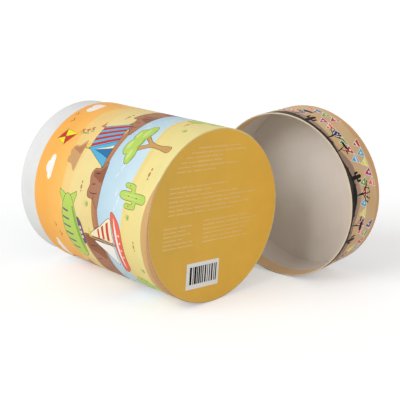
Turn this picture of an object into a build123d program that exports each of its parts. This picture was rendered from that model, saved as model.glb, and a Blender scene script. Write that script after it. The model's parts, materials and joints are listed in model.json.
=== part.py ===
from build123d import *
import os
from math import cos, radians, sin

# A round gift tube of board and printed paper, lying on its side with its lid off.
# Sizes are in millimetres. The origin is the centre of the tube's base face, +Y runs along
# the tube to its mouth, and the lid stands on its edge beside the tube, mouth towards it.

# Overall sizes
outer_radius = 70.0
body_length = 144.5
neck_height = 22.0
lid_depth = 42.5

# Board
tube_board = 1.0
neck_board = 1.0
lid_board = 0.8
base_thickness = 1.5
lid_top_thickness = 1.2

# Paper
wrap_paper = 0.15
end_paper = 0.15
lining_paper = 0.10

# How the papers are folded and lapped
hem_width = 10.0
tube_turn_in = 12.0
lid_turn_in = 13.5
lap_width = 8.0
lap_ramp = 1.5
end_paper_margin = 0.8
lining_setback = 0.5
notch_count = 24
notch_width = 4.5
notch_root = 1.5
fold_ease = 0.15
tube_lap_angle = 35.0
lid_lap_angle = 125.0

# Clearances
board_fit = 0.05
lid_fit = 0.25

# Where the lid stands
lid_side_gap = 2.9
lid_behind_base = 4.8
lid_turn = 6.3

# Radii that follow from the layers
wrap_inside = outer_radius - wrap_paper
tube_board_inside = wrap_inside - tube_board
tube_mouth_radius = tube_board_inside - wrap_paper
lid_board_inside = wrap_inside - lid_board
lid_lining_inside = lid_board_inside - lining_paper
lid_mouth_radius = lid_lining_inside - wrap_paper
neck_radius = lid_mouth_radius - lid_fit
neck_board_outside = neck_radius - lining_paper
neck_board_inside = neck_board_outside - neck_board
bore_radius = neck_board_inside - lining_paper

# Heights along an axis that follow from the layers, counted from an end's outer face
board_start = end_paper + wrap_paper
base_inside = board_start + base_thickness
lid_top_inside = board_start + lid_top_thickness
neck_end = body_length + neck_height


def sleeve(outside, inside, start, end):
    """A plain round wall about the Z axis."""
    return Pos(0, 0, start) * extrude(Circle(outside) - Circle(inside), end - start)


def disc(radius, start, end):
    """A flat round piece about the Z axis."""
    return Pos(0, 0, start) * extrude(Circle(radius), end - start)


def folded_strip(mouth_radius, rim, turn_in):
    """Paper that starts as a hem on the closed end, runs up the wall and turns in at the rim."""
    path = Polyline(
        (outer_radius - hem_width, end_paper),
        (outer_radius, end_paper),
        (outer_radius, rim),
        (mouth_radius, rim),
        (mouth_radius, rim - turn_in),
    )
    section = make_face(offset(path, wrap_paper, side=Side.LEFT, closed=True))
    creases = section.vertices().group_by(Axis.X)[-1]
    return revolve(Plane.XZ * chamfer(creases, fold_ease), Axis.Z)


def lap(rim, angle):
    """The strip where the wrap's last edge lies over its first, with a ramp where it climbs."""
    crest = outer_radius + wrap_paper
    ramp_end = lap_width / outer_radius
    ramp_start = (lap_width + lap_ramp) / outer_radius

    def at(radius, turn):
        return (radius * cos(turn), radius * sin(turn))

    middle = ramp_end / 2
    foot_middle = ramp_start / 2
    outline = Wire([
        Line(at(outer_radius, 0), at(crest, 0)),
        ThreePointArc(at(crest, 0), at(crest, middle), at(crest, ramp_end)),
        Line(at(crest, ramp_end), at(outer_radius, ramp_start)),
        ThreePointArc(at(outer_radius, ramp_start), at(outer_radius, foot_middle), at(outer_radius, 0)),
    ])
    start = end_paper + fold_ease
    strip = extrude(make_face(outline), rim - fold_ease - start)
    return Rot(0, 0, angle) * Pos(0, 0, start) * strip


def hem_notches():
    """The V cuts that let the hem lie flat, as wedges to take away."""
    inner = outer_radius - hem_width
    root = wrap_inside - notch_root
    half = notch_width / 2
    corners = [(inner - half, -half), (inner, -half), (root, 0), (inner, half), (inner - half, half)]
    wedge = Pos(0, 0, end_paper) * extrude(make_face(Polyline(*corners, close=True)), wrap_paper)
    return PolarLocations(0, notch_count) * wedge


def paper_wrap(mouth_radius, rim, turn_in, lap_angle):
    """A printed sheet rolled round its wall, lapped, hemmed over one end and turned in at the other."""
    return folded_strip(mouth_radius, rim, turn_in) + lap(rim, lap_angle) - hem_notches()


def tube_pieces():
    """The pieces of the tube, about the Z axis, base face at zero."""
    return {
        "tube_wall": sleeve(wrap_inside, tube_board_inside, board_start, body_length - wrap_paper),
        "tube_wrap": paper_wrap(tube_mouth_radius, body_length, tube_turn_in, tube_lap_angle),
        "base_board": disc(tube_board_inside - board_fit, board_start, base_inside),
        "base_paper": disc(outer_radius - end_paper_margin, 0, end_paper),
        "floor_lining": disc(bore_radius - board_fit, base_inside, base_inside + lining_paper),
        "neck_tube": sleeve(neck_board_outside, neck_board_inside, base_inside, neck_end),
        "neck_facing": sleeve(neck_radius, neck_board_outside, base_inside, neck_end),
        "neck_lining": sleeve(neck_board_inside, bore_radius, base_inside, neck_end),
    }


def lid_pieces():
    """The pieces of the lid, about the Z axis, closed face at zero and mouth upwards."""
    wall_end = lid_depth - wrap_paper
    lining_end = wall_end - lining_setback
    return {
        "lid_wall": sleeve(wrap_inside, lid_board_inside, lid_top_inside, wall_end),
        "lid_wrap": paper_wrap(lid_mouth_radius, lid_depth, lid_turn_in, lid_lap_angle),
        "lid_top_board": disc(wrap_inside, board_start, lid_top_inside),
        "lid_top_paper": disc(outer_radius - end_paper_margin, 0, end_paper),
        "lid_lining": sleeve(lid_board_inside, lid_lining_inside, lid_top_inside, lining_end),
        "lid_top_lining": disc(lid_lining_inside - board_fit, lid_top_inside, lid_top_inside + lining_paper),
    }


def tube_place():
    """The tube lies along +Y."""
    return Plane(origin=(0, 0, 0), x_dir=(1, 0, 0), z_dir=(0, 1, 0))


def lid_place():
    """The lid's closed face, with the lid standing on its edge, level with the tube."""
    turn = radians(lid_turn)
    away = Vector(cos(turn), sin(turn), 0)
    mouth_centre = Vector(outer_radius + lid_side_gap + outer_radius * sin(turn), lid_behind_base, 0)
    return Plane(origin=mouth_centre + away * lid_depth, x_dir=(0, 0, 1), z_dir=-away)


def write(pieces, place):
    for name, piece in pieces.items():
        placed = place.location * piece
        placed.label = name
        export_step(placed, f"parts/{name}.step")


os.makedirs("parts", exist_ok=True)
write(tube_pieces(), tube_place())
write(lid_pieces(), lid_place())
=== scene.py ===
import json
import math
import random

import bpy
import numpy as np
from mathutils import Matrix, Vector
from mathutils.geometry import delaunay_2d_cdt


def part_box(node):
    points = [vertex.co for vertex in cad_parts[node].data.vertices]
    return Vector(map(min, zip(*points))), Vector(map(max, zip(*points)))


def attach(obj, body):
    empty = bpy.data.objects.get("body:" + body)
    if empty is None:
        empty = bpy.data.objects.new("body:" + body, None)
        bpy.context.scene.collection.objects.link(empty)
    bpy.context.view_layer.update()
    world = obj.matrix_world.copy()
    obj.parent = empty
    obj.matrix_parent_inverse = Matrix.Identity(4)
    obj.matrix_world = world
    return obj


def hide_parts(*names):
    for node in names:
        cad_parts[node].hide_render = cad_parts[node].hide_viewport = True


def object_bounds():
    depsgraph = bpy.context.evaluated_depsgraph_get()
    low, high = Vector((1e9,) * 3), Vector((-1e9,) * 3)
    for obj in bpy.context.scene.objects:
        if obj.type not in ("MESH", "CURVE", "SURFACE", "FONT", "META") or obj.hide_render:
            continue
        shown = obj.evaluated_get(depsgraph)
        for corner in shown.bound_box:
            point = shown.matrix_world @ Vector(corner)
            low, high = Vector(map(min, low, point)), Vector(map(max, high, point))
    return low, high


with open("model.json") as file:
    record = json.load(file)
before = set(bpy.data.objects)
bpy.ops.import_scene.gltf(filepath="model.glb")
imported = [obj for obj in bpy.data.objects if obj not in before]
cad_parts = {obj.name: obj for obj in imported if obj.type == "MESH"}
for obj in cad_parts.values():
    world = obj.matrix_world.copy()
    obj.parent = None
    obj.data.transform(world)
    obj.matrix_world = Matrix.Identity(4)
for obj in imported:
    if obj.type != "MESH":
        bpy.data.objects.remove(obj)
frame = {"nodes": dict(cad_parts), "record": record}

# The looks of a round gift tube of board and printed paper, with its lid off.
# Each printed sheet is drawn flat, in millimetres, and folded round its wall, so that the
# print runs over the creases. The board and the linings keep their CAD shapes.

cad_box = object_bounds()


def mount(name):
    """A mount's place in millimetres, and the way it faces."""
    found = next(row for row in frame["record"]["mounts"] if row["name"] == name)
    return Vector(found["pos_m"]) * 1000, Vector(found["axis"]).normalized()


# Sizes and places from the frame, in millimetres
BASE_CENTRE, BASE_OUT = mount("base_face")
LID_CENTRE, LID_OUT = mount("lid_face")
LID_MOUTH_CENTRE, _ = mount("lid_bore")
WRAP_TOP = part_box("tube_wrap")[1] * 1000
PAPER_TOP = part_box("base_paper")[1] * 1000
RADIUS = round(WRAP_TOP.z, 1)
TUBE_RIM = round(WRAP_TOP.y, 1)
LID_RIM = round((LID_MOUTH_CENTRE - LID_CENTRE).length, 1)
DISC_RADIUS = round(PAPER_TOP.z, 1)
FACE = round(PAPER_TOP.y, 2)
FLOOR = cad_box[0][2]
AROUND = 2 * math.pi * RADIUS
UP = Vector((0, 0, 1))

# Paper, board and folds, in millimetres, and the places of the lapped seams, in degrees
PAPER = 0.15
LINING = 0.10
TUBE_BOARD = 1.0
LID_BOARD = 0.8
TUBE_MOUTH = RADIUS - 2 * PAPER - TUBE_BOARD
LID_MOUTH = RADIUS - 2 * PAPER - LID_BOARD - LINING
TUBE_TURN_IN = 12.0
LID_TURN_IN = 13.5
HEM = 10.0
NOTCHES = 24
NOTCH_WIDTH = 4.5
NOTCH_ROOT = RADIUS - PAPER - 1.5
CREASE = 0.4
CREASE_STEPS = 4
LAP = 8.0
LAP_RAMP = 1.5
DISC_EDGE = 0.1
DISC_SIDES = 180
TUBE_SEAM = 35.0
LID_SEAM = 125.0
WORN = 0.4
MERGE = 0.001

# Plants and strings of pennants round the lid, and how far out the base's rules come
PLANTS = 22
STRINGS = 7
RULES_WITHIN = 60.0

# Heights on the bake map: the face's top, the row for the cut edges, and where the back starts
MAP_FACE = 0.9
MAP_CUTS = (0.91, 0.93)
MAP_BACK = 0.94

# Inks, as they look under a plain light
GLOSS_LIFT = 0.011
INKS = {
    "outline": (70, 52, 42),
    "paper": (226, 214, 194),
    "sky high": (248, 176, 84),
    "sky low": (248, 191, 106),
    "dune far": (241, 202, 128),
    "dune high": (238, 207, 140),
    "dune low": (236, 217, 152),
    "ridge": (187, 134, 92),
    "ridge pale": (206, 160, 112),
    "rock": (176, 126, 100),
    "rock dark": (150, 100, 76),
    "river high": (186, 212, 226),
    "river low": (205, 226, 234),
    "foam": (232, 242, 244),
    "beach high": (238, 224, 154),
    "beach low": (236, 214, 140),
    "tan": (216, 178, 120),
    "lime": (186, 212, 104),
    "lime pale": (206, 224, 136),
    "lime dark": (140, 176, 84),
    "purple": (122, 92, 128),
    "coral": (240, 112, 92),
    "coral dark": (206, 78, 70),
    "yellow": (240, 226, 62),
    "blue": (96, 178, 212),
    "blue dark": (56, 120, 168),
    "red": (198, 64, 60),
    "white": (244, 240, 232),
    "cream": (246, 232, 196),
    "trunk": (206, 158, 100),
    # The base's ochre in painted shade at the left and in painted light at the right
    "base shaded left": (226, 180, 86),
    "base lit right": (243, 190, 82),
    "base rule": (236, 200, 132),
    "code white": (238, 236, 232),
    "code black": (30, 28, 28),
    "lid fold": (222, 204, 176),
    "lid inside": (238, 204, 164),
    "lid peach": (220, 180, 142),
    "lid green": (212, 186, 140),
    "lid tan": (212, 168, 120),
    "lid orange": (212, 160, 106),
    "hill": (160, 132, 116),
    "hill pale": (196, 164, 138),
    "soot": (34, 24, 18),
    "magenta": (190, 66, 116),
    "navy": (50, 62, 136),
    "leaf": (122, 168, 74),
}


def linear(rgb):
    """Values of 0 to 255 as Blender's linear colour."""
    value = np.asarray(rgb, float) / 255
    return np.where(value <= 0.04045, value / 12.92, ((value + 0.055) / 1.055) ** 2.4)


def ink_colour(name):
    """An ink without the little white that the paper's gloss adds to it."""
    seen = linear(INKS[name])
    return np.maximum(seen - GLOSS_LIFT, seen * 0.3)


def flat(name):
    """An ink that is the same everywhere."""
    colour = ink_colour(name)

    def ink(u, v):
        return np.tile(colour, (len(u), 1))
    return ink


def wash(low, high, start, end, across=False):
    """An ink that changes softly up the sheet, or across it."""
    first, last = ink_colour(low), ink_colour(high)

    def ink(u, v):
        part = np.clip(((u if across else v) - start) / (end - start), 0, 1)[:, None]
        return first + (last - first) * part
    return ink


def blotches(first, second, third):
    """An ink of soft clouds of three colours."""
    a, b, c = (ink_colour(name) for name in (first, second, third))

    def ink(u, v):
        turn = 2 * np.pi * u / AROUND
        one = 0.5 + 0.5 * np.sin(5 * turn + 0.10 * v) * np.cos(3 * turn - 0.17 * v + 1)
        two = 0.5 + 0.5 * np.sin(8 * turn - 0.14 * v + 2) * np.cos(2 * turn + 0.08 * v)
        mixed = a + (b - a) * (one * one * (3 - 2 * one))[:, None]
        return mixed + (c - mixed) * (0.7 * two * two)[:, None]
    return ink


# Outlines of shapes, each an array of points

def points(*pairs):
    return np.array(pairs, float)


def unit(rows):
    """Each row with a length of 1."""
    return rows / np.maximum(np.linalg.norm(rows, axis=1), 1e-9)[:, None]


def smooth(outline, steps, closed=True):
    """A soft curve through the given points."""
    before, after = (outline[-1:], outline[:2]) if closed else (outline[:1], outline[-1:])
    line = np.concatenate([before, outline, after])
    t = (np.arange(steps) / steps)[:, None]
    made = [0.5 * (2 * p1 + (p2 - p0) * t + (2 * p0 - 5 * p1 + 4 * p2 - p3) * t * t
                   + (3 * p1 - p0 - 3 * p2 + p3) * t ** 3)
            for p0, p1, p2, p3 in zip(line, line[1:], line[2:], line[3:])]
    return np.concatenate(made if closed else made + [after])


def blob(*pairs):
    """A soft closed outline through the given points."""
    return smooth(points(*pairs), 7)


def oval(x, y, wide, high, count=36):
    turn = np.linspace(0, 2 * np.pi, count, endpoint=False)
    return np.stack([x + wide * np.cos(turn), y + high * np.sin(turn)], 1)


def box(x, y, wide, high):
    return points((x, y), (x + wide, y), (x + wide, y + high), (x, y + high))


def ribbon(line, widths):
    """A stroke along a line, with a width at each of its points."""
    line = np.asarray(line, float)
    along = unit(np.gradient(line, axis=0))
    side = np.stack([-along[:, 1], along[:, 0]], 1)
    half = np.asarray(widths, float)[:, None] / 2
    return np.concatenate([line - side * half, (line + side * half)[::-1]])


def stroke(width, *pairs):
    """A soft stroke through the given points that thins at both ends."""
    curve = smooth(points(*pairs), 4, closed=False)
    taper = np.sin(np.linspace(0.25, np.pi - 0.25, len(curve)))
    return ribbon(curve, width * taper)


def anticlockwise(outline):
    x, y = outline.T
    area = np.sum(x * np.roll(y, -1) - np.roll(x, -1) * y)
    return outline if area > 0 else outline[::-1]


def grow(outline, by):
    """The outline moved outwards all round."""
    outline = anticlockwise(outline)
    ahead = unit(np.roll(outline, -1, 0) - outline)
    back = np.roll(ahead, 1, 0)
    normal = np.stack([back[:, 1] + ahead[:, 1], -back[:, 0] - ahead[:, 0]], 1)
    length = np.maximum(np.linalg.norm(normal, axis=1), 1.0)
    return outline + normal / length[:, None] * by * (2 / length)[:, None]


# Motifs: lists of (outline, name of its ink), painted in order. Each stands on the origin.

LINE = 0.38


def drawn(parts, line=LINE):
    """Parts with one dark line round them all, and thin lines where they meet."""
    return [(grow(outline, line), "outline") for outline, ink in parts] + parts


def inked(parts, line=LINE):
    """Parts that each keep a whole line of their own."""
    return [shape for part in parts for shape in drawn([part], line)]


def placed(motif, x, y, size=1.0, turn=0.0):
    """The motif moved to its place on the sheet. A size below 0 flips it."""
    angle = math.radians(turn)
    rotate = np.array([[math.cos(angle), math.sin(angle)], [-math.sin(angle), math.cos(angle)]])
    return [((outline * (size, abs(size))) @ rotate + (x, y), ink) for outline, ink in motif]


def airship(body="lime", rib="purple", shade="lime dark"):
    """A striped airship, 60 long and 30 high."""
    where = np.sin(np.linspace(-np.pi / 2, np.pi / 2, 41))
    half = 10.5 * np.sqrt(1 - np.abs(where) ** 2.4) * (1 - 0.16 * where)

    def hull_at(along, across):
        """Points of the hull, each part given from -1 to 1."""
        lean = 2.2 * (1 - across ** 2)
        return np.stack([along * 29 - lean, np.interp(along, where, half) * across + 18], 1)

    def strip(first, last, low, high):
        """A four-sided piece of the hull, with six steps to a side."""
        steps = np.arange(24) / 6
        return hull_at(np.interp(steps, range(5), (first, last, last, first, first)),
                       np.interp(steps, range(5), (low, low, high, high, low)))
    hull = np.concatenate([hull_at(where, -np.ones(41)), hull_at(where, np.ones(41))[-2:0:-1]])
    fins = [(points((17, 23), (29, 29), (31.5, 28.5), (28, 21)), body),
            (points((17, 13), (29, 7), (31.5, 7.5), (28, 15)), body)]
    cabin = blob((-11, 8.4), (-9, 3.4), (6, 3.4), (10, 8.4))
    panes = [(box(x, 4.8, 2.6, 2.0), "cream") for x in (-7.4, -3.2, 1.0)]
    ribs = [(strip(x, x + 0.055, 0.12, 0.93), rib) for x in np.arange(-0.66, 0.6, 0.24)]
    keel = [(strip(-0.78, 0.70, -0.90, -0.60), shade)]
    return drawn(fins) + drawn([(cabin, rib)]) + panes + drawn([(hull, body)]) + ribs + keel


def sailing_boat(hull="coral", sail="cream", band="coral dark"):
    """A two-sailed boat, 50 long and 40 high."""
    body = blob((-24, 9), (-19, 1.5), (-8, 0), (12, 0), (21, 3), (26, 10.5), (10, 8.5), (-10, 8))
    main = blob((2.2, 11), (10, 10.4), (21, 12), (13, 23), (3, 37), (2.6, 24))
    jib = blob((-1.4, 11.5), (-10, 11.2), (-18, 12.5), (-9, 22), (-1.6, 33), (-1.2, 22))
    bands = [(points((2.9, y), (27.3 - 0.66 * y, y), (27.3 - 0.66 * top, top), (2.9, top)), band)
             for y, top in ((13.8, 16.6), (19.6, 22.2), (25.2, 27.4))]
    flag = points((1.2, 39), (8.5, 37.2), (1.2, 35.4))
    stripe = blob((-20.5, 5.6), (-10, 4.4), (10, 4.6), (22.6, 7.4), (10, 6.6), (-10, 6.0))
    ports = [(oval(x, 2.6, 0.9, 0.9, 10), "cream") for x in (-8, -2, 4, 10)]
    return (drawn([(box(0, 8, 1.2, 31), "trunk"), (flag, "yellow")])
            + drawn([(main, sail), (jib, "white")]) + bands
            + drawn([(body, hull)]) + [(stripe, "white")] + ports)


def tent(cloth="blue", band="red", inside="blue dark"):
    """A ridge tent with a striped side, 50 long and 32 high."""
    foot, ridge = points((2, 0), (24, 4.5)), points((-11, 27), (13.5, 29))

    def strip(first, last):
        low = [foot[0] + (foot[1] - foot[0]) * part for part in (first, last)]
        high = [ridge[0] + (ridge[1] - ridge[0]) * part for part in (last, first)]
        return np.array(low + high)
    front = points((-24, 0), foot[0], ridge[0])
    door = points((-15.5, 0.3), (-13.2, 9), (-11, 20.5), (-8.2, 9), (-5.6, 0.3))
    flap = points((-11, 20.5), (-8.2, 9), (-5.6, 0.3), (-2.6, 0.3), (-6.4, 8))
    stripes = [(strip(first, first + 0.13), band) for first in (0.06, 0.31, 0.56, 0.81)]
    tops = []
    for (x, y), ink in zip(ridge, ("yellow", "coral")):
        flag = points((x, y + 5), (x + 6.2, y + 3.5), (x, y + 2))
        tops += [(box(x - 0.5, y - 1, 1, 6), "trunk"), (flag, ink)]
    return (drawn(tops) + inked([(strip(0, 1), cloth)]) + stripes
            + inked([(front, cloth)]) + inked([(door, inside), (flap, "cream")], 0.25))


def kite(sail="yellow", mark="red"):
    """A kite with a tail of bows, 22 across."""
    top, left, right, foot, middle = (0, 24), (-8.5, 15), (8.5, 15), (0, 2), (0, 15)
    quarters = [(points(top, left, middle), sail), (points(top, middle, right), mark),
                (points(left, foot, middle), mark), (points(middle, foot, right), sail)]
    line = stroke(0.6, (0, 2), (2.5, -2), (-1, -7), (3, -11), (1, -16))
    bows = []
    for x, y in ((1.6, -3.4), (0.6, -8.6), (2.0, -13.6)):
        for side, ink in ((-2.7, "lime"), (2.7, "coral")):
            bows.append((points((x, y), (x + side, y + 1.5), (x + side, y - 1.5)), ink))
    return [(line, "outline")] + drawn(bows, 0.25) + inked(quarters, 0.3)


def balloon(one="coral", two="cream", three="blue"):
    """A hot-air balloon, 24 across and 36 high."""
    rise = np.linspace(0, 1, 22)
    half = 12 * np.sin(np.pi * (0.10 + 0.90 * rise)).clip(0) ** 0.62 * (0.62 + 0.38 * rise ** 0.7)

    def gore(first, last):
        """The part of the envelope between two seams, each from -1 at the left to 1 at the right."""
        left, right = (np.stack([half * side, 11 + 25 * rise], 1) for side in (first, last))
        return np.concatenate([left, right[-2::-1]])
    edges = (-1, -0.74, -0.28, 0.28, 0.74, 1)
    inks = (one, two, three, two, one)
    gores = [(gore(*pair), ink) for *pair, ink in zip(edges, edges[1:], inks)]
    basket = points((-2.6, 0), (2.6, 0), (3.2, 4.6), (-3.2, 4.6))
    ropes = [(ribbon(points((0.8 * x, 4.6), (1.25 * x, 11.5)), (0.4, 0.4)), "outline")
             for x in (-3.4, 0, 3.4)]
    return ropes + drawn([(basket, "trunk")]) + [(grow(gore(-1, 1), LINE), "outline")] + gores


def cactus():
    """A cactus with two arms, 22 wide and 30 high."""
    stem = blob((-3.4, 0), (3.4, 0), (3.6, 14), (3.4, 26), (0, 30), (-3.4, 26), (-3.6, 14))
    left = blob((-2, 9), (-2, 13), (-6, 13.6), (-6.6, 20), (-8.4, 22), (-10.4, 20), (-10, 11), (-8, 9))
    right = blob((2, 13), (8, 13), (10.4, 15), (10.6, 24), (8.6, 26), (6.8, 24), (6.4, 17.4), (2, 17))
    ribs = [(stroke(0.8, (x, 3), (x * 1.1, 14), (x, 25)), "lime pale") for x in (-1.5, 1.3)]
    spots = [(oval(x, y, 0.55, 0.55, 8), "outline") for x, y in ((-8.3, 17), (8.7, 20), (0, 9), (0, 19))]
    return drawn([(left, "lime"), (right, "lime"), (stem, "lime")]) + ribs + spots


def shade_tree():
    """A flat-topped tree, 42 wide and 46 high."""
    stem = blob((-3.4, 0), (2.6, 0), (1.4, 12), (3.4, 22), (9, 31), (5.4, 31), (0.6, 24), (-4, 31),
                (-8, 31), (-2.4, 20), (-2.2, 10))
    puffs = ((-13, 34, 8.5, 4.6), (12, 34.5, 9.5, 5), (0, 37, 11, 6.2), (-6, 41, 8, 4.4), (8, 41, 7, 4))
    lights = ((-13, 35.6, 5), (11, 36.2, 5.6), (-4, 42, 4.6), (7, 42, 3.6))
    darks = ((-12, 31.4), (12, 31.6), (0, 33.4))
    return (drawn([(stem, "trunk")]) + drawn([(oval(*puff), "lime") for puff in puffs])
            + [(oval(x, y, wide, 1.5, 14), "lime pale") for x, y, wide in lights]
            + [(stroke(1.2, (x - 6, y), (x, y - 1.8), (x + 6, y)), "lime dark") for x, y in darks])


def mesa(wide=46.0, high=20.0, rock="rock", dark="rock dark"):
    """A flat-topped rock with cracks."""
    w, h = wide / 2, high
    top = blob((-w, 0), (-w + 4, h * 0.5), (-w + 5, h - 1), (-w + 9, h), (-2, h - 1.2), (w - 11, h + 0.4),
               (w - 6, h - 2), (w - 5, h * 0.45), (w, 0))
    shade = blob((w * 0.1, 0), (w * 0.2, h * 0.5), (w * 0.3, h - 2.4), (w - 7.4, h - 2.6),
                 (w - 6.4, h * 0.42), (w - 2, 0))
    cracks = ((0.7, (-w * 0.45, h - 2), (-w * 0.5, h * 0.5), (-w * 0.42, h * 0.16)),
              (0.7, (-w * 0.1, h - 3), (-w * 0.04, h * 0.45)),
              (0.7, (w * 0.42, h - 4), (w * 0.48, h * 0.3)),
              (0.6, (-w * 0.8, h * 0.5), (-w * 0.55, h * 0.42)))
    return drawn([(top, rock)]) + [(shade, dark)] + [(stroke(*crack), "outline") for crack in cracks]


def far_mesa(wide, high):
    """A pale far rock without lines."""
    return mesa(wide, high, "ridge pale", "ridge")[1:3]


def cloud(kind):
    """A cloud about 22 wide."""
    sets = (((-6, 3, 5, 3), (0, 5, 6, 4.6), (6.5, 3.4, 5, 3.2), (0, 2, 10, 2.2)),
            ((-4, 4, 4.4, 4), (2.4, 5, 4, 4.4), (0, 2.2, 7, 2.4)),
            ((-9, 3, 4, 2.4), (-3, 4.6, 5, 3.8), (4, 4, 5, 3.4), (10, 2.6, 4, 2), (0, 1.8, 12, 1.9)))
    return [(oval(*puff), "white") for puff in sets[kind]]


def birds():
    """Two far birds."""
    bird = [(stroke(0.8, (-3.4, 1.4), (-1.6, 2.2), (0, 0), (1.6, 2.2), (3.4, 1.4)), "rock dark")]
    return bird + placed(bird, 8, 4, 0.8)


def sun():
    """A pale sun with short rays, 26 across."""
    rays = [(ribbon((way * 8.4, way * 12.4), (1.2, 0.5)), "cream") for way in oval(0, 0, 1, 1, 12)]
    return placed(rays, 0, 0, 1.0, 8) + [(oval(0, 0, 6.6, 6.6), "cream")]


def tuft():
    """A tuft of grass, 8 wide."""
    blades = ((-3.6, 4.6), (-1.8, 6.4), (0.2, 7.4), (2.2, 6.0), (4.0, 4.2))
    return [(points((x * 0.35 - 0.6, 0), (x * 0.35 + 0.6, 0), (x, y)), "lime dark") for x, y in blades]


def pebbles():
    sizes = ((0, 0.8, 2.2, 1.1), (4.4, 0.6, 1.4, 0.8), (-3.6, 0.5, 1.1, 0.6))
    return [(oval(*size, 12), "ridge") for size in sizes]


def ripples():
    """Short foam lines on the water."""
    def line(x, y, length):
        return stroke(0.8, (x - length / 2, y), (x - length / 6, y + 0.9), (x + length / 6, y - 0.5),
                      (x + length / 2, y + 0.3))
    return [(line(*place), "foam") for place in ((0, 0, 9), (6, 3.4, 6), (-7, 2.4, 5))]


def pennants(count, first=0, drop=8.6, wide=7.4, sag=3.4):
    """A string of coloured pennants that hangs from the origin to the right."""
    inks = ("magenta", "yellow", "blue", "red", "leaf", "navy", "coral")
    step = wide + 1.1
    length = count * step

    def hang(x):
        return -4 * sag * (x / length) * (1 - x / length)
    made = [(stroke(0.7, *((x, hang(x)) for x in np.linspace(0, length, count + 1))), "soot")]
    for k in range(count):
        x = k * step + 0.6
        middle, top = x + wide / 2, hang(x)
        flag = points((x, top), (middle, hang(middle) - drop), (x + wide, hang(x + wide)))
        made += [(grow(flag, 0.55), "white"), (flag, inks[(first + k) % len(inks)])]
        if k % 2:
            mark = oval(middle, top - drop * 0.3, wide * 0.15, wide * 0.15, 12)
        else:
            mark = points((-0.35, -0.26), (0.35, -0.26), (0.26, -0.44), (-0.26, -0.44))
            mark = mark * (wide, drop) + (middle, top)
        made.append((mark, "white"))
    return made


def dark_plant(limbs, leaves):
    """A plant in one dark ink: (width, places) for each limb, and an oval for each leaf."""
    return ([(stroke(*limb), "soot") for limb in limbs]
            + [(oval(*leaf, 16), "soot") for leaf in leaves])


def bare_tree():
    """A thin leafless tree, 24 wide and 26 high."""
    limbs = ((2.4, (0, 0), (0.4, 7), (-0.4, 13), (0.6, 18)),
             (1.7, (-0.2, 11), (-4, 15.5), (-9, 18), (-11.5, 22)),
             (1.7, (0.2, 12), (4.5, 16), (8, 21), (12, 22.5)),
             (1.2, (-5, 16), (-5.6, 20.5), (-8, 24.5)),
             (1.2, (5, 16.6), (5.4, 21), (3.4, 25)),
             (1.3, (0.6, 17), (-1.4, 21), (-0.6, 26)))
    buds = ((-11.5, 22.4), (-8, 25), (12, 23), (3.4, 25.4), (-0.6, 26.4), (8.6, 21.6), (-5.4, 21))
    return dark_plant(limbs, [(x, y, 1.7, 0.9) for x, y in buds])


def thin_tree():
    """A leaning tree with a long thin stem and flat leaves, 16 wide and 24 high."""
    limbs = ((1.5, (0, 0), (0.8, 6), (2.2, 12), (4.4, 19)), (1.1, (1.4, 9.5), (-1.4, 13.5), (-3.6, 16.5)))
    leaves = ((4.6, 19.6, 5.6, 1.9), (7.6, 21.6, 3.8, 1.4), (0.6, 21.8, 3.6, 1.4), (-4.4, 17.2, 3.4, 1.3))
    return dark_plant(limbs, leaves)


def silhouettes(motif):
    """The motif in one dark ink."""
    return [(outline, "soot") for outline, ink in motif]


# Bands that run round a sheet

def wave(level, *swells):
    """A line round the sheet: its mean height, and (times round, height, start) for each swell."""
    def height(u):
        made = np.full(np.shape(u), float(level))
        for times, high, start in swells:
            made = made + high * np.sin(2 * np.pi * times * np.asarray(u) / AROUND + start)
        return made
    return height


def between(low, high, start=-6, end=AROUND + 6):
    """The outline of a band between two lines."""
    u = np.linspace(start, end, 150)
    return np.concatenate([np.stack([u, low(u)], 1), np.stack([u, high(u)], 1)[::-1]])


def below(line):
    """The outline of all that lies under a line."""
    return between(wave(-20), line)


def scatter(*rows):
    """Each row's motif at each of its places: (x, y), with size and turn if they matter."""
    return [shape for motif, *places in rows for place in places for shape in placed(motif, *place)]


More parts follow.
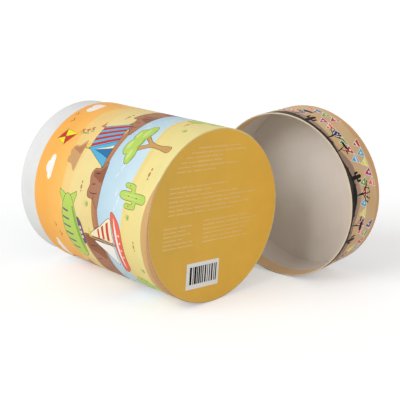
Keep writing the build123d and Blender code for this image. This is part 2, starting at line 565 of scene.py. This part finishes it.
def tube_art():
    """The tube's print: sky at the mouth, then dunes, a river and a beach at the base."""
    far = wave(108, (2, 4.5, 0.4), (5, 2.0, 1.5))
    dune = wave(98, (1, 6.0, 2.6), (3, 4.0, 0.2), (7, 0.8, 1.0))
    near = wave(80, (2, 6.0, 4.4), (5, 1.6, 2.0))
    swells = ((2, 2.6, 1.0), (5, 1.0, 0.5))
    bank = wave(59, *swells)
    crest = wave(65.5, *swells, (1, 2.6, 0.1))
    lip = wave(62.0, *swells, (1, 1.2, 0.1))
    shore = wave(33, (2, 4.5, 5.2), (3, 3.0, 1.0), (7, 0.8, 0.3))
    sandbar = wave(29, (2, 4.5, 5.2), (3, 3.4, 1.0), (7, 0.8, 0.3))
    bluff = wave(2.5, (1, 5.5, -0.3), (2, 4.5, -2.1), (5, 1.4, 0.2))
    rise = wave(-1.0, (1, 4.5, -0.1), (2, 4.0, -1.8), (7, 0.6, 1.0))
    art = [
        (below(far), wash("dune high", "dune far", 96, 114)),
        (below(dune), wash("dune low", "dune high", 84, 106)),
        (below(near), wash("dune low", "dune high", 56, 124)),
        (below(crest), "ridge"),
        (below(lip), "rock"),
        (below(bank), wash("river low", "river high", 28, 60)),
        (below(shore), "beach low"),
        (below(sandbar), wash("beach high", "beach low", 0, 44)),
        (below(bluff), wash("ridge pale", "tan", -6, 14)),
        (below(rise), wash("ridge", "ridge pale", -8, 12)),
    ]
    art += scatter(
        (cloud(0), (206, 124, 0.95), (44, 126, 1.1)),
        (cloud(1), (276, 128, 1.2), (396, 130)),
        (cloud(2), (128, 125), (334, 121, 0.9), (356, 133, 0.7)),
        (sun(), (304, 119, 0.9), (84, 118, 0.8)),
        (birds(), (150, 114), (252, 134), (370, 112), (24, 112)),
        (far_mesa(26, 13), (222, 97), (112, 96), (356, 98), (24, 94)),
        (mesa(50, 19), (292, 60)),
        (mesa(32, 13), (268, 60), (204, 60, 1.08), (62, 58, 1.12)),
        (mesa(58, 21), (137, 60)),
        (airship(), (162, 78, 1.0, 4)),
        (airship("coral", "navy", "coral dark"), (388, 74, -0.8, -3)),
        (kite(), (240, 114, 0.95, 24)),
        (kite("lime", "blue"), (340, 84, 0.8, -18)),
        (tent(), (240, 65.5, 0.94)),
        (tent("coral", "cream", "coral dark"), (40, 66, -0.8)),
        (balloon(), (110, 94)),
        (balloon("blue", "lime pale", "purple"), (322, 88, 0.85)),
        (balloon("yellow", "red", "white"), (66, 90, 0.9)),
        (ripples(), (120, 48), (222, 43), (262, 52), (330, 46), (398, 50), (50, 44), (196, 37, 0.9),
         (284, 45, 0.8)),
        (sailing_boat(), (158, 32, 1.06)),
        (sailing_boat("blue", "white", "blue dark"), (366, 32, -0.85)),
        (shade_tree(), (246, 10, 0.98), (26, 8, -0.8)),
        (cactus(), (202, 9, 0.9), (300, 8, -1.0), (120, 12, -0.9), (420, 8, 0.95)),
        (mesa(38, 13), (332, 3), (84, 3, 0.9)),
        (placed(tuft(), 0, 0, 0.8), (142, 14), (186, 22), (270, 15), (314, 24), (370, 14), (60, 20),
         (402, 24), (186, 72), (90, 68)),
        (pebbles(), (164, 17, 0.8), (222, 12), (282, 25), (352, 24), (100, 22), (198, 82, 0.9),
         (92, 86, 0.9), (272, 84), (388, 10)),
    )
    return wash("sky low", "sky high", 108, 140), art


def lid_art():
    """The lid's print: dark ground and plants at the rim, hills, and strings of pennants."""
    ground = wave(4.8, (5, 2.4, 0.4), (9, 1.5, 2.0), (17, 0.25, 1.0))
    hills = wave(6.2, (6, 4.8, 2.2), (11, 1.8, 0.5))
    far = wave(8.5, (5, 4.6, 0.7), (9, 1.6, 2.0))
    glow = wave(37.5, (3, 2.0, 1.7), (5, 1.2, 0.4))
    rim = LID_RIM
    fold, folded = wave(rim - 0.25), wave(rim + 1.25)

    def under_rim(line):
        return lambda u: rim - line(u)
    top = wave(rim + 0.4)
    art = [
        (below(under_rim(glow)), wash("lid orange", "lid tan", -1, 9)),
        (between(under_rim(far), top), wash("hill pale", "hill", 24, 38)),
        (between(under_rim(hills), top), "hill"),
        (between(under_rim(ground), top), "soot"),
        (between(fold, folded), "lid fold"),
        (between(folded, wave(rim + 22)), "lid inside"),
    ]

    def upright(motif, x, foot, size=1.0):
        """The motif with its head towards the closed end."""
        return placed([(outline * (1, -1), ink) for outline, ink in motif], x, foot, size)

    def planted(motif, x, size):
        return upright(silhouettes(motif), x, rim - float(ground(x)) + 0.3, size)
    plants = []
    kinds = ((bare_tree(), 0.66), (cactus(), 0.41), (thin_tree(), 0.72))
    for k in range(PLANTS):
        motif, size = kinds[k % 3]
        side = 1 if k % 2 else -1
        place = 19.5 * k + 10 + 2.5 * math.sin(3 * k)
        plants += planted(motif, place, side * size * (1 + 0.1 * math.sin(5 * k)))
        plants += planted(tuft(), place + 9, side * (0.30 + 0.06 * (k % 3)))
    flags = []
    for k in range(STRINGS):
        flags += upright(pennants(6, 3 * k), 62 * k + 26, 18.5 + math.sin(5 * k))
        flags += upright(pennants(4 + k % 2, 4 * k + 1), 62 * k + 4, 6 + 0.7 * math.sin(3 * k))
    return blotches("lid peach", "lid green", "lid tan"), art + flags + plants


def base_art():
    """The base paper: ochre with pale rules and a panel of plain bars. The ochre has painted shade at its
    left and painted light towards its right.
    """
    random.seed(5)
    motif = []
    blocks = ((-44, 55.5, 6, 3.4, 84), (-50, 26.5, 7, 3.4, 98), (-54, -4.0, 6, 3.2, 34),
              (-13, -2.0, 6, 3.4, 68))
    for left, top, rows, pitch, longest in blocks:
        for y in top - pitch * np.arange(rows):
            edge = math.sqrt(RULES_WITHIN ** 2 - y * y)
            x = max(left, -edge)
            end = min(x + longest * random.uniform(0.45, 1.0), edge)
            while x < end - 2:
                dash = min(random.uniform(5, 17), end - x)
                motif.append((box(x, y, dash, random.uniform(0.65, 0.95)), "base rule"))
                x += dash + 1.5
    motif.append((box(-27.6, -55.8, 34.9, 21.2), "code white"))
    x, end, foot, high = -24.0, 4.0, -52.0, 14.2
    while x < end:
        wide = random.choice((0.6, 0.8, 1.2, 1.6, 2.2))
        motif.append((box(x, foot, wide, high), "code black"))
        x += wide + random.choice((0.6, 0.7, 0.9, 1.2))
    # The ochre ground runs from painted shade at the left to painted light at the right.
    return wash("base shaded left", "base lit right", -60, 66, across=True), placed(motif, 0, 0, 1.0, -5)


def lid_top_art():
    """The lid's closed face: a low sun over hills, with dark ground and plants."""
    def hill(level, *swells):
        return between(wave(-80), wave(level, *swells), -76, 76)
    shapes = [
        (oval(16, 2, 19, 19, 60), "cream"),
        (hill(2, (4, 5, 0.4), (9.5, 2, 1.0)), "hill pale"),
        (hill(-10, (5, 6, 2.2), (11.5, 2, 0.2)), "hill"),
        (hill(-24, (3.5, 5, 4.0), (14.5, 1.2, 0.8)), "soot"),
    ]
    shapes += scatter(
        (silhouettes(shade_tree()), (-36, -30, 0.95), (4, -26, 0.6)),
        (silhouettes(cactus()), (26, -26), (46, -24, -0.7)),
        (balloon(), (-30, 22, 0.85)),
        (balloon("blue", "lime pale", "purple"), (30, 26, 0.7)),
        (cloud(2), (-6, 26, 0.8)),
        (cloud(0), (4, 44, 0.8)),
        (birds(), (44, 22)),
        (pennants(8, 2, 5.4, 4.6), (-14, 61)),
    )
    return wash("lid tan", "sky low", -10, 60), shapes


# From flat sheets to meshes

def inside(outline, at):
    """Which of the places lie within the outline."""
    x, y = at[:, 0, None], at[:, 1, None]
    x0, y0 = outline.T
    x1, y1 = np.roll(outline, -1, 0).T
    crossed = (y0 > y) != (y1 > y)
    rise = np.where(y1 == y0, 1.0, y1 - y0)
    return (crossed & (x < (x1 - x0) * (y - y0) / rise + x0)).sum(1) % 2 == 1


def cut_sheet(lines, shapes, keep):
    """Triangles of the flat sheet, none of which crosses a line or the edge of a shape."""
    places, edges = [], []
    for line, closed in lines + [(outline, True) for outline, ink in shapes]:
        first, count = len(places), len(line)
        places += [Vector(p) for p in line]
        edges += [(first + k, first + (k + 1) % count) for k in range(count if closed else count - 1)]
    flat_points, _, faces, _, _, _ = delaunay_2d_cdt(places, edges, [], 0, MERGE, False)
    where = np.array([tuple(p) for p in flat_points])
    faces = np.array(faces)
    middle = where[faces].mean(1)
    kept = keep(middle)
    used, faces = np.unique(faces[kept], return_inverse=True)
    return where[used], faces.reshape(-1, 3), middle[kept]


def paint(where, faces, middle, ground, shapes):
    """The colour at each corner of each triangle: that of the last shape painted there."""
    owner = np.zeros(len(faces), int)
    for k, (outline, ink) in enumerate(shapes):
        low, high = outline.min(0), outline.max(0)
        near = np.flatnonzero(((middle >= low) & (middle <= high)).all(1))
        owner[near[inside(outline, middle[near])]] = k + 1
    inks = [ground] + [flat(ink) if isinstance(ink, str) else ink for outline, ink in shapes]
    corners = where[faces].reshape(-1, 2)
    of_corner = np.repeat(owner, 3)
    colours = np.empty((len(corners), 3))
    for k in np.unique(owner):
        mine = of_corner == k
        colours[mine] = inks[k](*corners[mine].T)
    return colours


def rim_edges(faces):
    """The edges that only one triangle has, each in that triangle's direction."""
    edges = np.stack([faces, np.roll(faces, -1, 1)], 2).reshape(-1, 2)
    _, index, count = np.unique(np.sort(edges, 1), axis=0, return_index=True, return_counts=True)
    return edges[index[count == 1]]


def add_object(name, data):
    made = bpy.data.objects.new(name, data)
    bpy.context.scene.collection.objects.link(made)
    return made


def smooth_mesh(name, vertices, faces):
    """A mesh from lists, in metres."""
    mesh = bpy.data.meshes.new(name)
    mesh.from_pydata(vertices, [], faces)
    mesh.polygons.foreach_set("use_smooth", np.ones(len(faces), bool))
    return mesh


def build(name, vertices, faces, normals, colours, wear, uvs):
    """A mesh object from arrays. Normals, colours, wear and uvs have one row for each corner."""
    mesh = smooth_mesh(name, (vertices * 0.001).tolist(), faces)
    ink = mesh.color_attributes.new("ink", "FLOAT_COLOR", "CORNER")
    ink.data.foreach_set("color", np.concatenate([colours, wear[:, None]], 1).astype(np.float32).ravel())
    layer = mesh.uv_layers.new(name="OFBake")
    layer.uv.foreach_set("vector", uvs.astype(np.float32).ravel())
    mesh.normals_split_custom_set(normals.tolist())
    return add_object(name, mesh)


def arc(radius, height, start, end):
    """A rounded crease: (radius, height, facing) round a centre."""
    turns = np.radians(np.linspace(start, end, CREASE_STEPS + 1))
    return [(radius + CREASE * math.cos(t), height + CREASE * math.sin(t), math.degrees(t)) for t in turns]


class Roll:
    """A sheet folded round a wall, drawn along the wall's girth (u) and up from its closed end (v)."""

    def __init__(self, centre, axis, zero, seam, rim, mouth, turn_in):
        self.centre, self.axis, self.zero = (np.array(value) for value in (centre, axis, zero))
        self.side = np.cross(self.axis, self.zero)
        self.seam, self.rim = math.radians(seam), rim
        path = [(RADIUS - HEM, FACE, -90)]
        path += arc(RADIUS - CREASE, FACE + CREASE, -90, 0)
        wall = np.linspace(FACE + CREASE, rim - CREASE, max(3, round(rim / 11)))[1:-1]
        path += [(RADIUS, height, 0) for height in wall]
        path += arc(RADIUS - CREASE, rim - CREASE, 0, 90)
        path += arc(mouth + CREASE, rim - CREASE, 90, 180)
        path += [(mouth, rim - turn_in / 2, 180), (mouth, rim - turn_in, 180)]
        self.path = np.array(path)
        steps = np.linalg.norm(np.diff(self.path[:, :2], axis=0), axis=1)
        rows, foot = np.concatenate([[0], np.cumsum(steps)]), CREASE_STEPS + 1
        self.rows = rows - rows[foot] + self.path[foot, 1]
        self.low, self.high = self.rows[0], self.rows[-1]
        self.notches = self.cuts()

    def cuts(self):
        """The V cuts that let the hem lie flat."""
        deep = NOTCH_ROOT - RADIUS + HEM
        half = NOTCH_WIDTH / 2 * RADIUS / (RADIUS - HEM) * (deep + 1) / deep
        middles = (np.arange(NOTCHES) * AROUND / NOTCHES - self.seam * RADIUS) % AROUND
        return [points((u - half, self.low - 1), (u + half, self.low - 1), (u, self.low + deep))
                for u in middles]

    def lines(self):
        """Where the sheet bends or is cut."""
        columns = [*np.linspace(0, LAP, 4), *np.linspace(LAP + LAP_RAMP, AROUND, 142)]
        made = [(points((u, self.low), (u, self.high)), False) for u in columns]
        made += [(points((0, v), (AROUND, v)), False) for v in self.rows]
        return made + [(notch, True) for notch in self.notches]

    def keeps(self, at):
        """Which of the places on the drawing are on the sheet."""
        u, v = at.T
        kept = (u > 0) & (u < AROUND) & (v > self.low) & (v < self.high)
        for notch in self.notches:
            kept &= ~inside(notch, at)
        return kept

    def around(self, u):
        """The ways outwards and onwards round the wall."""
        turn = (self.seam + u / RADIUS)[:, None]
        return (np.cos(turn) * self.zero + np.sin(turn) * self.side,
                np.cos(turn) * self.side - np.sin(turn) * self.zero)

    def facing(self, u, v):
        turn = np.radians(np.interp(v, self.rows, self.path[:, 2]))[:, None]
        return self.around(u)[0] * np.cos(turn) + self.axis * np.sin(turn)

    def shading(self, u, v, middle):
        """The way the face looks at each corner of its triangles. It leans where the lap's edge climbs."""
        climbs = np.repeat((middle[:, 0] > LAP) & (middle[:, 0] < LAP + LAP_RAMP), 3)
        leans = climbs & (v > 1) & (v < self.rim - 1)
        return self.facing(u, v) + self.around(u)[1] * leans[:, None] * (PAPER / LAP_RAMP)

    def place(self, u, v, deep=0.0):
        """Where points of the drawing come to be, on the face or below it."""
        radius, height = (np.interp(v, self.rows, self.path[:, k])[:, None] for k in (0, 1))
        climb = np.clip((LAP + LAP_RAMP - u) / LAP_RAMP, 0, 1)
        ends = np.clip((v - FACE) / CREASE, 0, 1) * np.clip((self.rim - v) / CREASE, 0, 1)
        at = self.centre + self.around(u)[0] * radius + self.axis * height
        return at + self.facing(u, v) * (PAPER * climb * ends - deep)[:, None]

    def wear(self, u, v):
        """Most on the creases, and a little at the lap's edge."""
        creases = np.exp(-np.abs(v - FACE) / WORN) + np.exp(-np.abs(v - self.rim) / WORN)
        return np.clip(0.8 * creases + 0.6 * np.exp(-u / WORN), 0, 1)

    def spread(self, u, v):
        """The drawing's places as parts of its width and height."""
        return np.stack([u / AROUND, (v - self.low) / (self.high - self.low)], 1)


class Disc:
    """A round end paper, drawn from its centre."""

    def __init__(self, centre, out):
        self.centre, self.out, self.up = (np.array(value) for value in (centre, out, UP))
        self.right = np.cross(self.up, self.out)

    def lines(self):
        rings = [(DISC_RADIUS - back, DISC_SIDES) for back in (0, DISC_EDGE, 1.2)]
        rings += [(radius, DISC_SIDES // 3) for radius in (20, 40, 58)]
        return [(oval(0, 0, radius, radius, sides), True) for radius, sides in rings]

    def keeps(self, at):
        return np.hypot(*at.T) < DISC_RADIUS * math.cos(math.pi / DISC_SIDES)

    def rounded(self, x, y):
        """From 0 to 1 over the last bit before the cut edge, where the paper is pressed down."""
        return np.clip((np.hypot(x, y) - DISC_RADIUS) / DISC_EDGE + 1, 0, 1)

    def facing(self, x, y):
        return np.tile(self.out, (len(x), 1))

    def shading(self, x, y, middle):
        outward = x[:, None] * self.right + y[:, None] * self.up
        return self.out + outward / DISC_RADIUS * self.rounded(x, y)[:, None] / 2

    def place(self, x, y, deep=0.0):
        sink = np.maximum(self.rounded(x, y) * DISC_EDGE / 2, deep)
        return self.centre + x[:, None] * self.right + y[:, None] * self.up - sink[:, None] * self.out

    def wear(self, x, y):
        return 0.8 * np.exp((np.hypot(x, y) - DISC_RADIUS) / 0.35)

    def spread(self, x, y):
        return 0.5 + np.stack([x, y], 1) / (2 * DISC_RADIUS)


def back_sheet(where, edges, lines, keep):
    """The sheet's plain back. It shares the rim's points, and below gives the one under each."""
    rim = [(where[edge], False) for edge in edges]
    flat_back, faces, _ = cut_sheet(rim + lines, [], keep)
    below = np.zeros(len(where), int)
    for k in np.unique(edges):
        below[k] = np.argmin(((flat_back - where[k]) ** 2).sum(1))
    return flat_back, faces[:, ::-1], below


def shell(name, sheet, art):
    """A printed sheet as a closed shell: its face, its back and its cut edges."""
    ground, shapes = art
    where, faces, middle = cut_sheet(sheet.lines(), shapes, sheet.keeps)
    edges = rim_edges(faces)
    flat_back, back_faces, below = back_sheet(where, edges, sheet.lines(), sheet.keeps)
    back_faces = back_faces + len(where)
    u, v = np.concatenate([where, flat_back]).T
    vertices = np.concatenate([sheet.place(*where.T), sheet.place(*flat_back.T, PAPER)])
    cuts = np.concatenate([edges[:, ::-1], below[edges] + len(where)], 1)

    ring = vertices[cuts]
    across = unit(np.cross(ring[:, 1] - ring[:, 0], ring[:, 3] - ring[:, 0]))
    front, back = faces.reshape(-1), back_faces.reshape(-1)
    normals = [sheet.shading(u[front], v[front], middle), np.repeat(across, 4, 0),
               -sheet.facing(u[back], v[back])]

    plain = cuts.size + len(back)
    colours = [paint(where, faces, middle, ground, shapes), np.tile(linear(INKS["paper"]), (plain, 1))]
    wear = [sheet.wear(u[front], v[front]), np.zeros(plain)]
    low, high = MAP_CUTS
    cells = np.arange(len(cuts))[:, None, None] * (1, 0) + [(1, low), (0, low), (0, high), (1, high)]
    uvs = [sheet.spread(u[front], v[front]) * (1, MAP_FACE), cells.reshape(-1, 2) / (len(cuts), 1),
           sheet.spread(u[back], v[back]) * (1, 1 - MAP_BACK) + (0, MAP_BACK)]
    joined = (np.concatenate(rows) for rows in (normals, colours, wear, uvs))
    return build(name, vertices, faces.tolist() + cuts.tolist() + back_faces.tolist(), *joined)


# Materials

class Nodes:
    """Short calls that add nodes to a material or to the world."""

    def __init__(self, owner):
        owner.use_nodes = True
        self.owner, self.tree = owner, owner.node_tree

    def put(self, socket, value):
        """Links a socket, or sets a plain value."""
        if isinstance(value, bpy.types.NodeSocket):
            self.tree.links.new(value, socket)
        else:
            socket.default_value = value

    def node(self, kind, given=(), **settings):
        """A new node, with its settings, and with inputs given by name or number."""
        made = self.tree.nodes.new("ShaderNode" + kind)
        for key, value in settings.items():
            setattr(made, key, value)
        for key, value in dict(given).items():
            self.put(made.inputs[key], value)
        return made

    def math(self, operation, *values):
        return self.node("Math", enumerate(values), operation=operation).outputs[0]

    def add(self, first, second):
        return self.math("ADD", first, second)

    def minus(self, first, second):
        return self.math("SUBTRACT", first, second)

    def times(self, first, second):
        return self.math("MULTIPLY", first, second)

    def seen(self):
        """1 for what the camera sees, also in reflections and through clear things."""
        path = self.node("LightPath").outputs
        direct = self.math("MAXIMUM", path["Is Camera Ray"], path["Is Glossy Ray"])
        return self.math("MAXIMUM", direct, path["Is Transmission Ray"])


class Finish(Nodes):
    """A material in the making."""

    def __init__(self, name):
        super().__init__(bpy.data.materials.new(name))
        self.at = self.node("TexCoord").outputs["Object"]

    def shade(self, **given):
        """Sets inputs of the shader. An underscore stands for a space."""
        sockets = self.tree.nodes["Principled BSDF"].inputs
        for key, value in given.items():
            self.put(sockets[key.replace("_", " ")], value)

    def bump(self, height, distance):
        """Relief of the given height in metres."""
        self.shade(Normal=self.node("Bump", {"Height": height, "Distance": distance}).outputs[0])

    def noise(self, scale, detail=3.0, rough=0.55):
        given = {"Vector": self.at, "Scale": scale, "Detail": detail, "Roughness": rough}
        return self.node("TexNoise", given).outputs["Fac"]

    def vector(self, operation, *values):
        made = self.node("VectorMath", enumerate(values), operation=operation)
        return made.outputs["Value" if operation in ("DOT_PRODUCT", "LENGTH") else "Vector"]

    def span(self, value, low, high, to_low, to_high):
        """The value mapped from one range to another, and held within it."""
        return self.node("MapRange", enumerate((value, low, high, to_low, to_high))).outputs[0]

    def mottled(self, noise, low, high):
        """A noise as a value that goes from low to high."""
        return self.span(noise, 0.3, 0.7, low, high)

    def mix(self, part, first, second, blend="MIX"):
        given = {"Factor": part, "A": first, "B": second}
        return self.node("Mix", given, data_type="RGBA", blend_type=blend).outputs["Result"]

    def round_axis(self, centre, axis, zero):
        """The turn about an axis, from 0 to 1, the height along it and the distance from it in metres."""
        off = self.vector("SUBTRACT", self.at, centre * 0.001)
        x, y, along = (self.vector("DOT_PRODUCT", off, way) for way in (zero, axis.cross(zero), axis))
        turn = self.math("DIVIDE", self.math("ARCTAN2", y, x), 2 * math.pi)
        return turn, along, self.vector("LENGTH", self.vector("CROSS_PRODUCT", off, axis))


def rgba(*colour):
    return (*linear(colour), 1.0)


def winding(finish, axis, pitch):
    """A thin spiral line where strips of board or paper meet, 1 on the line."""
    turn, along, _ = finish.round_axis(*axis)
    off = finish.math("PINGPONG", finish.add(turn, finish.times(along, 1 / pitch)), 0.5)
    return finish.span(off, 0.0, 0.006, 1.0, 0.0)


def hem_relief(finish, axis):
    """How the folded hem shows through an end paper: 1 over the hem, 0 over its notches."""
    turn, _, off = finish.round_axis(*axis)
    radius = finish.times(off, 1000.0)
    part = finish.math("PINGPONG", finish.times(turn, float(NOTCHES)), 0.5)
    across = finish.times(part, finish.times(radius, 2 * math.pi / NOTCHES))
    half = finish.span(radius, RADIUS - HEM, NOTCH_ROOT, NOTCH_WIDTH / 2, 0.0)
    beside = finish.span(finish.minus(across, half), -0.4, 0.6, 0.0, 1.0)
    return finish.times(beside, finish.span(radius, RADIUS - HEM - 0.5, RADIUS - HEM + 0.7, 0.0, 1.0))


def printed_paper(name, axis, on_wall):
    """Coated printed paper: faint fibre, worn creases, and the layers below showing through."""
    finish = Finish(name)
    ink = finish.node("Attribute", attribute_name="ink").outputs
    fibre = finish.noise(1400, 5)
    tone = finish.add(finish.mottled(finish.noise(45), 0.965, 1.02), finish.mottled(fibre, -0.02, 0.02))
    worn = finish.times(ink["Alpha"], finish.span(finish.noise(620, 4), 0.35, 0.65, 0.12, 0.34))
    height = finish.add(finish.times(fibre, 0.25), finish.times(finish.noise(90, 2), 0.9))
    if on_wall:
        height = finish.minus(height, finish.times(winding(finish, axis, 0.085), 0.35))
    else:
        height = finish.add(height, finish.times(hem_relief(finish, axis), 1.2))
    finish.bump(height, 0.00006)
    printed = finish.mix(1.0, ink["Color"], tone, "MULTIPLY")
    finish.shade(Base_Color=finish.mix(worn, printed, rgba(228, 214, 190)), Specular_IOR_Level=0.07,
                 Roughness=finish.mottled(finish.noise(260, 4), 0.43, 0.56))
    return finish.owner


def plain_paper(name, colour, rough, axis=None, pitch=0.11):
    """Uncoated lining paper with short fibres. On a wall it has the seam of its spiral winding."""
    finish = Finish(name)
    fibre = finish.noise(1700, 6, 0.65)
    tone = finish.add(finish.mottled(finish.noise(70, 4), 0.96, 1.01), finish.mottled(fibre, -0.03, 0.025))
    height = finish.add(finish.times(fibre, 0.5), finish.noise(320))
    if axis is not None:
        seam = winding(finish, axis, pitch)
        tone = finish.minus(tone, finish.times(seam, 0.03))
        height = finish.minus(height, finish.times(seam, 0.5))
    finish.bump(height, 0.00007)
    finish.shade(Base_Color=finish.mix(1.0, rgba(*colour), tone, "MULTIPLY"), Specular_IOR_Level=0.3,
                 Roughness=finish.mottled(fibre, rough - 0.06, rough + 0.06))
    return finish.owner


def grey_board():
    """The raw cut edge of greyboard: pressed layers and mixed fibres."""
    finish = Finish("board")
    fibre = finish.noise(2200, 6, 0.7)
    fleck = finish.noise(900, 3, 0.8)
    colour = finish.mix(finish.span(fibre, 0.35, 0.65, 0, 1), rgba(150, 143, 132), rgba(190, 183, 170))
    colour = finish.mix(finish.span(fleck, 0.62, 0.70, 0, 0.6), colour, rgba(96, 88, 78))
    finish.bump(finish.add(fibre, fleck), 0.0001)
    finish.shade(Base_Color=colour, Roughness=0.9)
    return finish.owner


def floor_paper():
    """Pale and matt. The camera sees a little glow, so that the floor meets the white backdrop."""
    finish = Finish("floor")
    colour = finish.mix(finish.noise(3, 2), (0.76, 0.76, 0.76, 1), (0.78, 0.78, 0.78, 1))
    finish.shade(Base_Color=colour, Roughness=0.9, Specular_IOR_Level=0.1, Emission_Color=(1, 1, 1, 1),
                 Emission_Strength=finish.times(finish.seen(), 0.36))
    return finish.owner


# Camera, light and floor

def add_camera():
    """The place, in radii of the tube, and the direction that fit the outlines in the photograph."""
    camera = add_object("camera", bpy.data.cameras.new("camera"))
    yaw, pitch = 0.7611, 0.2883
    camera.location = Vector((-7.2007, -7.3086, 3.2356)) * RADIUS * 0.001
    camera.rotation_euler = (math.pi / 2 - pitch, 0, -yaw)
    camera.data.sensor_width = 36
    camera.data.lens = 86.92
    bpy.context.scene.camera = camera


def add_sun(name, strength, soft, toward, colour=(1, 1, 1)):
    """A soft lamp, so many degrees across, that shines the given way."""
    lamp = bpy.data.lights.new(name, "SUN")
    lamp.energy = strength
    lamp.color = colour
    lamp.angle = math.radians(soft)
    add_object(name, lamp).rotation_euler = Vector(toward).to_track_quat("-Z", "Y").to_euler()


def add_world(strength):
    """Even light all round. The camera and reflections see white."""
    bpy.context.scene.world = bpy.data.worlds.new("studio")
    sky = Nodes(bpy.context.scene.world)

    def glow(level):
        return sky.node("Background", {"Color": (1, 1, 1, 1), "Strength": level}).outputs[0]
    mixed = sky.node("MixShader", enumerate((sky.seen(), glow(strength), glow(1.0))))
    sky.put(sky.tree.nodes["World Output"].inputs["Surface"], mixed.outputs[0])


def add_floor():
    """A wide pale floor that rises behind the object."""
    near, reach, wide, rise, bend = -4.0, 5.0, 9.0, 3.0, 1.5
    turns = np.linspace(0, math.pi / 2, 13)
    path = [(near, 0.0)]
    path += [(reach - bend + bend * math.sin(t), bend - bend * math.cos(t)) for t in turns]
    path.append((reach, rise))
    vertices = [(side, along, FLOOR + up) for along, up in path for side in (-wide, wide)]
    faces = [(2 * k, 2 * k + 1, 2 * k + 3, 2 * k + 2) for k in range(len(path) - 1)]
    mesh = smooth_mesh("floor", vertices, faces)
    mesh.materials.append(floor_paper())
    add_object("floor", mesh)


def add_prints(body, axis, *sheets):
    """Folds each printed sheet of a body in place of its CAD node."""
    for node, slot, sheet, art in sheets:
        piece = shell(slot, sheet, art)
        piece.data.materials.append(printed_paper(slot, axis, isinstance(sheet, Roll)))
        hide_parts(node)
        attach(piece, body)


def finish_nodes(material, *nodes):
    """Gives CAD nodes a material."""
    for node in nodes:
        for slot in frame["nodes"][node].material_slots:
            slot.material = material


def dress():
    """Folds the printed sheets and gives every CAD node its finish."""
    tube_axis = (BASE_CENTRE, -BASE_OUT, UP.cross(BASE_OUT))
    tube_roll = Roll(*tube_axis, TUBE_SEAM, TUBE_RIM, TUBE_MOUTH, TUBE_TURN_IN)
    add_prints("tube", tube_axis, ("tube_wrap", "tube_print", tube_roll, tube_art()),
               ("base_paper", "base_print", Disc(BASE_CENTRE, BASE_OUT), base_art()))
    lid_axis = (LID_CENTRE, -LID_OUT, UP)
    lid_roll = Roll(*lid_axis, LID_SEAM, LID_RIM, LID_MOUTH, LID_TURN_IN)
    add_prints("lid", lid_axis, ("lid_wrap", "lid_print", lid_roll, lid_art()),
               ("lid_top_paper", "lid_top_print", Disc(LID_CENTRE, LID_OUT), lid_top_art()))
    finish_nodes(plain_paper("neck_paper", (225, 225, 223), 0.62, tube_axis), "neck_facing", "neck_lining")
    finish_nodes(plain_paper("floor_paper", (236, 235, 232), 0.7), "floor_lining")
    finish_nodes(plain_paper("lid_lining_paper", (228, 220, 212), 0.7, lid_axis, 0.12), "lid_lining")
    finish_nodes(plain_paper("lid_top_lining_paper", (228, 220, 212), 0.7), "lid_top_lining")
    finish_nodes(grey_board(), "tube_wall", "base_board", "neck_tube", "lid_wall", "lid_top_board")


bpy.context.scene.view_settings.view_transform = "Standard"
add_camera()
dress()
add_world(0.5)
add_sun("key", 1.75, 40, (0.82, -0.16, -0.52), (0.97, 0.985, 1.0))
add_sun("fill", 0.6, 60, (0.05, 0.93, -0.35))
add_floor()
